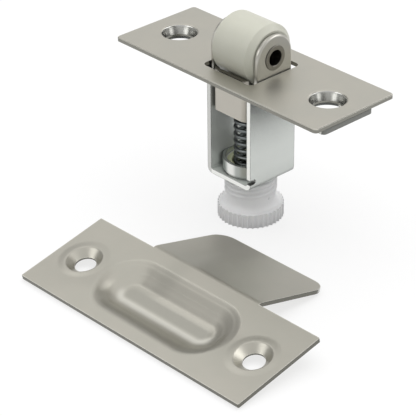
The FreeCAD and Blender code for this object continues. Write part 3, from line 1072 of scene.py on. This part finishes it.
@dataclass(frozen=True)
class MouldedNylon(Finish):
    """Smooth moulded nylon, a little milky under its skin."""

    milk: float = 0.12
    milk_depth: Point = (1.2 * MM, 1.1 * MM, 1.0 * MM)
    sheen: float = 0.4

    def fill(self, shader: bpy.types.Node) -> None:
        """Lets light into the skin and softens the sheen.

        Args:
            shader: The material's Principled shader.
        """
        shader.inputs["Subsurface Weight"].default_value = self.milk
        shader.inputs["Subsurface Radius"].default_value = self.milk_depth
        shader.inputs["Subsurface Scale"].default_value = 1.0
        shader.inputs["Specular IOR Level"].default_value = self.sheen


@dataclass(frozen=True)
class Finishes:
    """Every finish on the catch, each with its layers in the order in which they lie."""

    # The dark tone that each finish takes in its corners is painted shade.
    nickel: PlatedSteel = PlatedSteel(
        "satin_nickel", srgb(194, 191, 181), srgb(190, 188, 179), roughness=0.45,
        corner_shade=CornerShade(amount=0.25), layers=(
            # Painted shade on the cups' flanks that look along CUP_FLANK.
            CutFacesAndShade(srgb(92, 91, 85), share=0.9, axis=CUP_FLANK),
            # A light line along the edges, as a painted highlight.
            EdgeHighlightAndShade(srgb(214, 212, 204), share=0.6, metallic=0.4),
            SheetSides(srgb(134, 133, 126))))
    strike: PlatedSteel = PlatedSteel(
        "satin_nickel_strike", srgb(186, 183, 173), srgb(182, 180, 170), roughness=0.4,
        corner_shade=CornerShade(amount=0.25), layers=(
            # A light line along the edges, as a painted highlight.
            EdgeHighlightAndShade(srgb(226, 224, 216), share=0.7, width=0.3 * MM, metallic=0.35),
            SheetSides(srgb(112, 111, 104), srgb(188, 187, 182), axis=PressedSheet().faces()),
            PressedSheet()))
    zinc: PlatedSteel = PlatedSteel(
        "bright_zinc", srgb(230, 234, 230), srgb(226, 230, 226), roughness=0.36,
        metallic=0.35, spread=0.02,
        corner_shade=CornerShade(srgb(62, 64, 62), amount=0.75, reach=1.3 * MM), layers=(
            # The plate's shade on the outsides and on the flanges' ends is painted.
            FoldedStrip(),
            # Bright bare cut edges; those of the left wall take painted shade.
            CutFacesAndShade(srgb(240, 240, 236), share=0.85, bare=True, left_wall=-5.9 * MM),
            # Painted shade inside the relief slots.
            ReliefSlotShade(),
            # A dark line along the edges, as painted shade.
            EdgeHighlightAndShade(srgb(98, 101, 99), share=0.8, width=0.26 * MM)))
    carriage: PlatedSteel = PlatedSteel(
        "carriage_nickel", srgb(184, 180, 171), srgb(179, 176, 167), roughness=0.33)
    fork: PlatedSteel = PlatedSteel(
        "fork_nickel", srgb(190, 188, 180), srgb(184, 182, 174), roughness=0.34,
        corner_shade=CornerShade(srgb(40, 40, 36), amount=0.9, reach=0.6 * MM), layers=(
            # The fork's faces that look along X are painted darker as shade.
            CutFacesAndShade(srgb(152, 151, 145), share=1.0, axis=(1.0, 0.0, 0.0)),))
    rivet: PlatedSteel = PlatedSteel(
        "rivet_steel", srgb(112, 110, 103), srgb(104, 102, 96), roughness=0.34,
        corner_shade=CornerShade(amount=0.6))
    wire: PlatedSteel = PlatedSteel(
        "spring_wire", srgb(116, 120, 120), srgb(95, 100, 101), roughness=0.33,
        corner_shade=CornerShade(srgb(25, 28, 28), amount=0.6))
    roller: MouldedNylon = MouldedNylon(
        "roller_nylon", srgb(200, 200, 187), srgb(195, 195, 181), roughness=0.4,
        corner_shade=CornerShade(srgb(112, 113, 94), amount=0.3, reach=2.2 * MM))
    knob: MouldedNylon = MouldedNylon(
        "knob_nylon", srgb(241, 241, 241), srgb(236, 236, 237), roughness=0.45,
        corner_shade=CornerShade(srgb(152, 152, 153), amount=0.3, reach=2.2 * MM),
        layers=(KnobBore(srgb(232, 236, 196)),))


def dress_piece(nodes: Nodes, piece: Piece, material: bpy.types.Material) -> str:
    """Puts one material into all of a piece's slots.

    Args:
        nodes: The carried-over parts by name.
        piece: The piece to dress.
        material: Its finish.

    Returns:
        The piece's name.
    """
    node = nodes[piece.value]
    if not node.material_slots:
        node.data.materials.append(material)
    for slot in node.material_slots:
        slot.material = material
    return node.name


def mesh_object(name: str, build: bmesh.types.BMesh, material: bpy.types.Material,
                smooth: bool = True) -> bpy.types.Object:
    """Makes an object from finished mesh data.

    Args:
        name: The object's name.
        build: The mesh data, which is freed.
        material: The object's finish.
        smooth: Whether its faces are shaded smooth.

    Returns:
        The object, linked to the scene.
    """
    data = bpy.data.meshes.new(name)
    bmesh.ops.recalc_face_normals(build, faces=build.faces)
    build.to_mesh(data)
    build.free()
    for polygon in data.polygons:
        polygon.use_smooth = smooth
    data.materials.append(material)
    piece = bpy.data.objects.new(name, data)
    bpy.context.scene.collection.objects.link(piece)
    return piece


@dataclass
class ScrewThread:
    """A right-handed screw thread's ridge, wound on a shank."""

    name: str
    root: float
    crest: float
    pitch: float
    low: float
    high: float
    sink: float = 0.15 * MM
    foot_share: float = 0.42
    root_share: float = 0.9
    crest_share: float = 0.3
    run_out_turns: float = 1 / 3
    steps: int = 48

    def build(self, material: bpy.types.Material) -> bpy.types.Object:
        """Winds the ridge from the low end to the high end, and runs it out at both.

        Args:
            material: The thread's finish.

        Returns:
            The thread as one closed object.
        """
        mesh = bmesh.new()
        total = int((self.high - self.low) / self.pitch * self.steps)
        run_out = self.steps * self.run_out_turns
        half = self.pitch * self.foot_share
        rows = []
        for step in range(total + 1):
            angle = step * math.tau / self.steps
            rise = self.low + step * self.pitch / self.steps
            fade = min(1.0, step / run_out, (total - step) / run_out)
            crest = self.root + (self.crest - self.root) * fade
            outline = ((self.root - self.sink, 1.0), (self.root, self.root_share),
                       (crest, self.crest_share))
            section = [(radius, -half * share) for radius, share in outline]
            section += [(radius, half * share) for radius, share in reversed(outline)]
            rows.append([mesh.verts.new((radius * math.cos(angle), radius * math.sin(angle),
                                         rise + up)) for radius, up in section])
        for first, second in zip(rows, rows[1:]):
            for index in range(len(first)):
                after = (index + 1) % len(first)
                mesh.faces.new((first[index], first[after], second[after], second[index]))
        mesh.faces.new(rows[0])
        mesh.faces.new(list(reversed(rows[-1])))
        return mesh_object(self.name, mesh, material)


class PieceSet(ABC):
    """A sub-assembly of the catch, whose pieces each take one finish."""

    @abstractmethod
    def pairs(self, finishes: Finishes) -> list[tuple[Piece, Finish]]:
        """Names each piece with its finish.

        Args:
            finishes: The finishes to choose from.

        Returns:
            Each piece and its finish.
        """

    def dress(self, nodes: Nodes, finishes: Finishes, effects: Effects) -> list[str]:
        """Gives each piece its finish.

        Args:
            nodes: The carried-over parts by name.
            finishes: The finishes to use.
            effects: The shared node groups.

        Returns:
            The names of what was dressed.
        """
        return [dress_piece(nodes, piece, finish.make(effects))
                for piece, finish in self.pairs(finishes)]


class FacePlateSet(PieceSet):
    """The face plate with the folded bracket under it."""

    def pairs(self, finishes: Finishes) -> list[tuple[Piece, Finish]]:
        """Plates both, the face plate in satin nickel and the bracket in bright zinc."""
        return [(Piece.FACE_PLATE, finishes.nickel), (Piece.BRACKET, finishes.zinc)]


class RollerSet(PieceSet):
    """The roller, its hollow rivet, the fork and the carriage below."""

    def pairs(self, finishes: Finishes) -> list[tuple[Piece, Finish]]:
        """Gives each moving piece a finish of its own."""
        return [(Piece.CARRIAGE, finishes.carriage), (Piece.FORK, finishes.fork),
                (Piece.RIVET, finishes.rivet), (Piece.ROLLER, finishes.roller)]


class StrikePlateSet(PieceSet):
    """The pressed strike plate with its lead-in lip."""

    def pairs(self, finishes: Finishes) -> list[tuple[Piece, Finish]]:
        """Plates the strike in its own satin nickel."""
        return [(Piece.STRIKE, finishes.strike)]


@dataclass
class Adjuster(PieceSet):
    """The ribbed knob on its threaded shank, and the spring it loads."""

    body: str = "knob"
    shank: float = 5.85 * MM
    crest: float = 6.25 * MM
    pitch: float = 1.3 * MM
    thread_low: float = -32.9 * MM
    thread_high: float = -28.55 * MM

    def pairs(self, finishes: Finishes) -> list[tuple[Piece, Finish]]:
        """Gives the knob its nylon and the spring its wire."""
        return [(Piece.KNOB, finishes.knob), (Piece.SPRING, finishes.wire)]

    def dress(self, nodes: Nodes, finishes: Finishes, effects: Effects) -> list[str]:
        """Dresses the knob and the spring, and winds the shank's thread in the knob's nylon.

        Args:
            nodes: The carried-over parts by name.
            finishes: The finishes to use.
            effects: The shared node groups.

        Returns:
            The names of what was dressed or made.
        """
        made = super().dress(nodes, finishes, effects)
        nylon = nodes[Piece.KNOB.value].material_slots[0].material
        thread = ScrewThread("knob_thread", self.shank, self.crest, self.pitch,
                             self.thread_low, self.thread_high).build(nylon)
        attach(thread, self.body)
        return made + [thread.name]


@dataclass(frozen=True)
class SoftBox:
    """A soft box that only shows as a sheen in the metal."""

    name: str
    bearing: float
    height: float
    width: float
    tall: float
    strength: float
    distance: float = 1.2

    def build(self) -> None:
        """Hangs the box so that it faces the object."""
        level = self.distance * math.cos(self.height)
        place = Vector((level * math.cos(self.bearing), level * math.sin(self.bearing),
                        self.distance * math.sin(self.height)))
        data = bpy.data.lights.new(self.name, "AREA")
        data.shape = "RECTANGLE"
        data.size = self.width
        data.size_y = self.tall
        data.energy = self.strength * math.pi * self.width * self.tall
        lamp = bpy.data.objects.new(self.name, data)
        turned = place.to_track_quat("Z", "Y").to_matrix().to_4x4()
        lamp.matrix_world = Matrix.Translation(place) @ turned
        lamp.visible_diffuse = False
        lamp.visible_camera = False
        bpy.context.scene.collection.objects.link(lamp)


@dataclass(frozen=True)
class CardRise:
    """A side of the surround that is taller and darker than the rest.

    Attributes:
        bearing: Which way the side lies.
        extra: How much taller it is.
        sharpness: How soon the rise falls off to its sides.
        slope: Where its darker tone begins and is full, from -1 behind to 1 at its middle.
        level: Its darker tone.
    """

    bearing: float
    extra: float
    sharpness: int
    slope: Slope
    level: float


@dataclass
class Studio:
    """A plain pale floor, a grey card surround and soft lamps."""

    floor_height: float
    floor_reach: float = 3.0
    floor_white: float = 0.93
    floor_grey: float = 0.5
    floor_lift: float = 0.7
    card_radius: float = 1.7
    card_height: float = 0.98
    card_steps: int = 96
    card_bend: float = 0.4
    card_low: float = 0.67
    card_high: float = 1.0
    card_light: float = 0.6
    front: CardRise = CardRise(math.radians(-45.0), extra=0.7, sharpness=2,
                               slope=Slope(-0.2, 0.6), level=0.72)
    left: CardRise = CardRise(math.radians(205.0), extra=1.0, sharpness=4,
                              slope=Slope(0.45, 0.85), level=0.42)
    sky: float = 0.75
    top_place: Point = (-0.1, 0.15, 1.5)
    top_size: float = 2.0
    top_power: float = 17.6
    boxes: tuple[SoftBox, ...] = (
        SoftBox("soft_box_back", math.radians(179.0), math.radians(51.0),
                width=0.28, tall=0.28, strength=1.55),
        SoftBox("soft_box_right", math.radians(50.0), math.radians(30.0),
                width=1.1, tall=0.5, strength=2.2),
        SoftBox("soft_box_left", math.radians(-112.0), math.radians(24.0),
                width=0.9, tall=0.4, strength=2.2))

    @staticmethod
    def seen(sheet: NodeSheet) -> bpy.types.NodeSocket:
        """Tells rays that show a surface from rays that only light one.

        Args:
            sheet: The node sheet to add the test to.

        Returns:
            1 for camera, glossy and transmission rays, else 0.
        """
        path = sheet.add("ShaderNodeLightPath")
        through = sheet.math("MAXIMUM", path.outputs["Is Glossy Ray"],
                             path.outputs["Is Transmission Ray"])
        return sheet.math("MAXIMUM", path.outputs["Is Camera Ray"], through)

    def floor(self) -> bpy.types.Object:
        """Lays the floor just under the object.

        Returns:
            The floor, marked as stage.
        """
        material = bpy.data.materials.new("studio_floor")
        sheet = empty_sheet(material)
        seen = self.seen(sheet)
        shader = sheet.add("ShaderNodeBsdfDiffuse")
        sheet.put(shader.inputs["Color"],
                  sheet.mix(seen, grey(self.floor_grey), grey(self.floor_white)))
        glow = sheet.add("ShaderNodeEmission")
        choose = sheet.add("ShaderNodeMixShader")
        sheet.put(choose.inputs["Fac"], sheet.product(seen, self.floor_lift))
        sheet.put(choose.inputs[1], shader.outputs["BSDF"])
        sheet.put(choose.inputs[2], glow.outputs["Emission"])
        output = sheet.add("ShaderNodeOutputMaterial")
        sheet.put(output.inputs["Surface"], choose.outputs["Shader"])
        mesh = bmesh.new()
        corners = [(-1, -1), (1, -1), (1, 1), (-1, 1)]
        mesh.faces.new([mesh.verts.new((x * self.floor_reach, y * self.floor_reach,
                                        self.floor_height)) for x, y in corners])
        floor = mesh_object("studio_floor", mesh, material, smooth=False)
        floor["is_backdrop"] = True
        return floor

    def toward(self, sheet: NodeSheet, place: bpy.types.bpy_prop_collection,
               rise: CardRise) -> bpy.types.NodeSocket:
        """Marks the card toward one of its taller sides.

        Args:
            sheet: The node sheet to add to.
            place: The parts of the surface's place.
            rise: The taller side.

        Returns:
            The mark's socket, from 0 to 1.
        """
        ahead = sheet.math("ADD", sheet.product(place["X"], math.cos(rise.bearing)),
                           sheet.product(place["Y"], math.sin(rise.bearing)))
        return sheet.slope(sheet.math("DIVIDE", ahead, self.card_radius), rise.slope)

    def card(self) -> bpy.types.Material:
        """Makes the surround's grey card, which glows like a lit wall.

        Returns:
            The card's material.
        """
        material = bpy.data.materials.new("studio_surround")
        sheet = empty_sheet(material)
        place = sheet.split(sheet.place())
        level = sheet.ramp(place["Z"], self.card_bend, self.card_height,
                           self.card_low, self.card_high)
        level = sheet.blend(self.toward(sheet, place, self.left), level, self.left.level)
        level = sheet.blend(self.toward(sheet, place, self.front), level,
                            sheet.math("MINIMUM", level, self.front.level))
        path = sheet.add("ShaderNodeLightPath")
        level = sheet.blend(path.outputs["Is Diffuse Ray"], level, self.card_light)
        glow = sheet.add("ShaderNodeEmission")
        sheet.put(glow.inputs["Strength"], sheet.blend(path.outputs["Is Camera Ray"], level, 1.0))
        output = sheet.add("ShaderNodeOutputMaterial")
        sheet.put(output.inputs["Surface"], glow.outputs["Emission"])
        return material

    def surround(self) -> bpy.types.Object:
        """Stands a ring of grey card round the floor, taller at the front and the left.

        Returns:
            The ring, marked as stage.
        """
        mesh = bmesh.new()
        low, high = [], []
        for step in range(self.card_steps):
            angle = step * math.tau / self.card_steps
            x, y = self.card_radius * math.cos(angle), self.card_radius * math.sin(angle)
            top = self.card_height
            for rise in (self.front, self.left):
                top += rise.extra * max(0.0, math.cos(angle - rise.bearing)) ** rise.sharpness
            low.append(mesh.verts.new((x, y, self.floor_height)))
            high.append(mesh.verts.new((x, y, top)))
        for index in range(self.card_steps):
            after = (index + 1) % self.card_steps
            mesh.faces.new((low[index], low[after], high[after], high[index]))
        ring = mesh_object("studio_surround", mesh, self.card())
        ring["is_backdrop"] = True
        return ring

    def world(self) -> None:
        """Fills the world: white where it is seen, softer as light."""
        world = bpy.data.worlds.new("studio_sky")
        bpy.context.scene.world = world
        sheet = empty_sheet(world)
        background = sheet.add("ShaderNodeBackground")
        sheet.put(background.inputs["Strength"], sheet.blend(self.seen(sheet), self.sky, 1.0))
        background.inputs["Color"].default_value = grey(1.0)
        output = sheet.add("ShaderNodeOutputWorld")
        sheet.put(output.inputs["Surface"], background.outputs["Background"])

    def lamp(self) -> None:
        """Hangs one wide square soft lamp that faces straight down."""
        data = bpy.data.lights.new("overhead", "AREA")
        data.shape = "SQUARE"
        data.size = self.top_size
        data.energy = self.top_power
        lamp = bpy.data.objects.new("overhead", data)
        lamp.location = self.top_place
        lamp.visible_glossy = False
        bpy.context.scene.collection.objects.link(lamp)

    def build(self) -> list[str]:
        """Builds the floor, the surround, the world and the lamps.

        Returns:
            The names of the stage's objects.
        """
        stage = [self.floor().name, self.surround().name]
        self.world()
        self.lamp()
        for box in self.boxes:
            box.build()
        return stage


@dataclass
class PhotoCamera:
    """The camera at the photograph's viewing angle."""

    place: Point = (288.33 * MM, -279.84 * MM, 195.14 * MM)
    yaw: float = math.radians(47.308)
    pitch: float = math.radians(30.115)
    roll: float = math.radians(0.581)
    focal_pixels: float = 1950.0
    sensor_width: float = 36.0
    clip_start: float = 0.01
    clip_end: float = 20.0

    def build(self) -> bpy.types.Object:
        """Stands the camera in its place.

        Returns:
            The camera object, set as the scene's own.
        """
        right = Vector((math.cos(self.yaw), math.sin(self.yaw), 0.0))
        ahead = Vector((-math.sin(self.yaw) * math.cos(self.pitch),
                        math.cos(self.yaw) * math.cos(self.pitch), -math.sin(self.pitch)))
        down = ahead.cross(right)
        turned = right * math.cos(self.roll) + down * math.sin(self.roll)
        lowered = down * math.cos(self.roll) - right * math.sin(self.roll)
        data = bpy.data.cameras.new("photo_camera")
        data.sensor_width = self.sensor_width
        data.lens = self.sensor_width * self.focal_pixels / IMAGE_SIDE
        data.clip_start = self.clip_start
        data.clip_end = self.clip_end
        camera = bpy.data.objects.new("photo_camera", data)
        axes = Matrix((turned, -lowered, -ahead)).transposed().to_4x4()
        camera.matrix_world = Matrix.Translation(self.place) @ axes
        bpy.context.scene.collection.objects.link(camera)
        bpy.context.scene.camera = camera
        return camera


def main() -> None:
    """Dresses the catch, lights it and stands the camera."""
    logging.basicConfig(level=logging.INFO, format="%(name)s: %(message)s")
    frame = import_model()
    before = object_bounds()
    nodes = frame["nodes"]
    camera = PhotoCamera().build()
    LOG.info("camera %s, lens %.1f mm", camera.name, camera.data.lens)
    effects, finishes = Effects(), Finishes()
    for pieces in (FacePlateSet(), RollerSet(), Adjuster(), StrikePlateSet()):
        for name in pieces.dress(nodes, finishes, effects):
            LOG.info("dressed %s", name)
    for name in Studio(floor_height=before[0][2]).build():
        LOG.info("staged %s", name)
    bpy.context.scene.view_settings.view_transform = "Standard"


if __name__ == "__main__":
    main()
